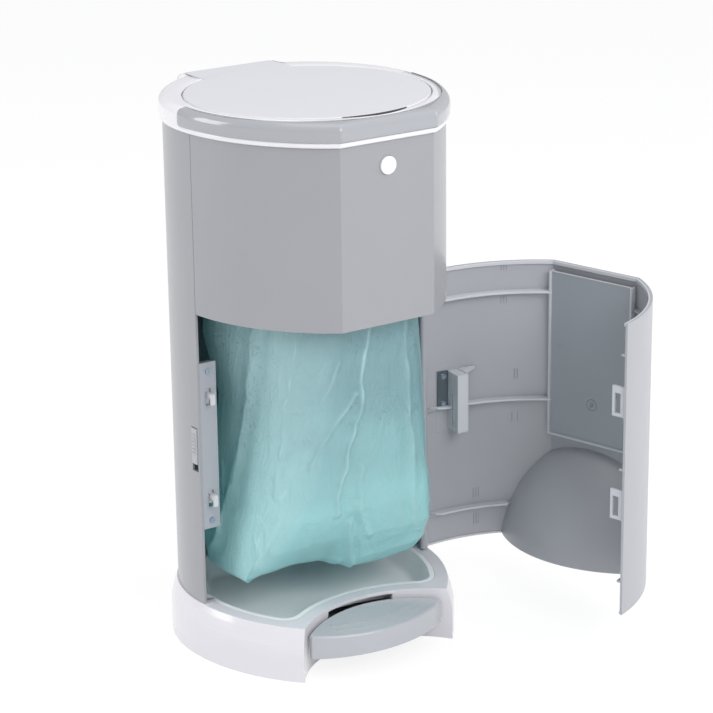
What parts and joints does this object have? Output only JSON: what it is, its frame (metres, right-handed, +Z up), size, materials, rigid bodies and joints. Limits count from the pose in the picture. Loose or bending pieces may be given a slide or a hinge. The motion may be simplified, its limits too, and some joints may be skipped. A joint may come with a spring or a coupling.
{
  "type": "step-on litter disposal pail",
  "caption": "Tall round-backed litter pail with a pedal-lifted round lid, sprung trap doors, a hanging liner bag from a film cassette, a drip tray and a hinged front door with film cutter.",
  "frame": {"origin": "On the floor under the base, at the centre of the round back's plan, on the part's own flat underside.", "axes": "+Z is up. The flat front face looks along -Y, the door's hinge is on the +X side. The part is stored as pictured, with the door open."},
  "size_m": [0.5127, 0.5012, 0.66],
  "materials": {
    "base_white": "moulded, glossy",
    "collar_white": "moulded, glossy",
    "tray_white": "moulded, semi-gloss",
    "body_grey": "moulded, fine satin texture",
    "door_inner_grey": "moulded, satin",
    "lid_grey": "moulded, semi-gloss",
    "tab_grey": "moulded, satin",
    "bumper_grey": "moulded, glossy",
    "pedal_grey": "moulded, semi-gloss",
    "button_grey": "moulded, satin",
    "inner_grey": "moulded, natural",
    "cassette_grey": "moulded, natural",
    "film_teal": "thin tinted film",
    "latch_grey": "moulded, satin",
    "slider_grey": "moulded, satin",
    "cutter_grey": "moulded, satin",
    "zinc": "zinc plated",
    "bright_steel": "drawn, bright",
    "seal_rubber": "soft, matte"
  },
  "bodies": {
    "pail": {"base_housing": "base_white", "base_plate": "inner_grey", "base_screws": "zinc", "pedal_pin": "bright_steel", "floor_tray": "tray_white", "back_shell": "body_grey", "front_panel": "body_grey", "rod_guide": "inner_grey", "cassette_shelf": "inner_grey", "liner_cassette": "cassette_grey", "film_pack": "film_teal", "liner_bag": "film_teal", "latch_plate": "latch_grey", "latch_screws": "zinc", "top_hinge_pin": "bright_steel", "door_hinge_pins": "bright_steel"},
    "latch": {"latch_bar": "latch_grey", "release_slider": "slider_grey"},
    "pedal": {"pedal": "pedal_grey", "pedal_lever": "zinc"},
    "lift_rod": {"lift_rod": "bright_steel", "rod_head": "inner_grey"},
    "top": {"top_collar": "collar_white", "top_bumper": "bumper_grey", "chute": "inner_grey", "lid_hinge_pin": "bright_steel", "flap_pins": "bright_steel", "flap_springs": "bright_steel", "top_catch": "inner_grey"},
    "lid": {"lid": "lid_grey", "lid_tab": "tab_grey", "lid_crank": "inner_grey", "lid_seal": "seal_rubber"},
    "flap_left": {"flap_left": "inner_grey"},
    "flap_right": {"flap_right": "inner_grey"},
    "button": {"button": "button_grey", "button_spring": "bright_steel"},
    "door": {"door_shell": "body_grey", "door_pocket": "door_inner_grey", "upper_catch_eye": "latch_grey", "lower_catch_eye": "latch_grey", "cutter_housing": "cutter_grey", "cutter_blade": "bright_steel", "cutter_plate": "zinc", "cutter_screws": "zinc"}
  },
  "joints": [
    {"name": "top_hinge", "type": "hinge", "parent": "pail", "child": "top", "pos_m": [0, 0.1645, 0.6322], "axis": [-1, 0, 0], "range_deg": [0, 75]},
    {"name": "lid_hinge", "type": "hinge", "parent": "top", "child": "lid", "pos_m": [0, 0.149, 0.649], "axis": [-1, 0, 0], "range_deg": [0, 80]},
    {"name": "pedal_pivot", "type": "hinge", "parent": "pail", "child": "pedal", "pos_m": [0, -0.06, 0.013], "axis": [1, 0, 0], "range_deg": [0, 7.68]},
    {"name": "rod_slide", "type": "slide", "parent": "pail", "child": "lift_rod", "axis": [0, 0, 1], "range_m": [0, 0.0258]},
    {"name": "flap_left_hinge", "type": "hinge", "parent": "top", "child": "flap_left", "pos_m": [-0.061, -0.016, 0.5755], "axis": [0, 1, 0], "range_deg": [0, 80], "stiffness_Nm_per_rad": 0.02, "springref_deg": -34.38},
    {"name": "flap_right_hinge", "type": "hinge", "parent": "top", "child": "flap_right", "pos_m": [0.061, -0.016, 0.5755], "axis": [0, -1, 0], "range_deg": [0, 80], "stiffness_Nm_per_rad": 0.02, "springref_deg": -34.38},
    {"name": "button_press", "type": "slide", "parent": "pail", "child": "button", "axis": [0, 1, 0], "range_m": [0, 0.003], "stiffness_N_per_m": 400, "springref_m": -0.002, "deforming": ["button_spring"]},
    {"name": "latch_slide", "type": "slide", "parent": "pail", "child": "latch", "axis": [0, 0, -1], "range_m": [0, 0.008]},
    {"name": "door_hinge", "type": "hinge", "parent": "pail", "child": "door", "pos_m": [0.1505, -0.031, 0], "axis": [0, 0, 1], "range_deg": [-105, 0]}
  ],
  "couplings": [
    {"joint": "pedal_pivot", "follows": "lid_hinge", "ratio": 0.09536},
    {"joint": "rod_slide", "follows": "lid_hinge", "m_per_rad": 0.018415}
  ]
}
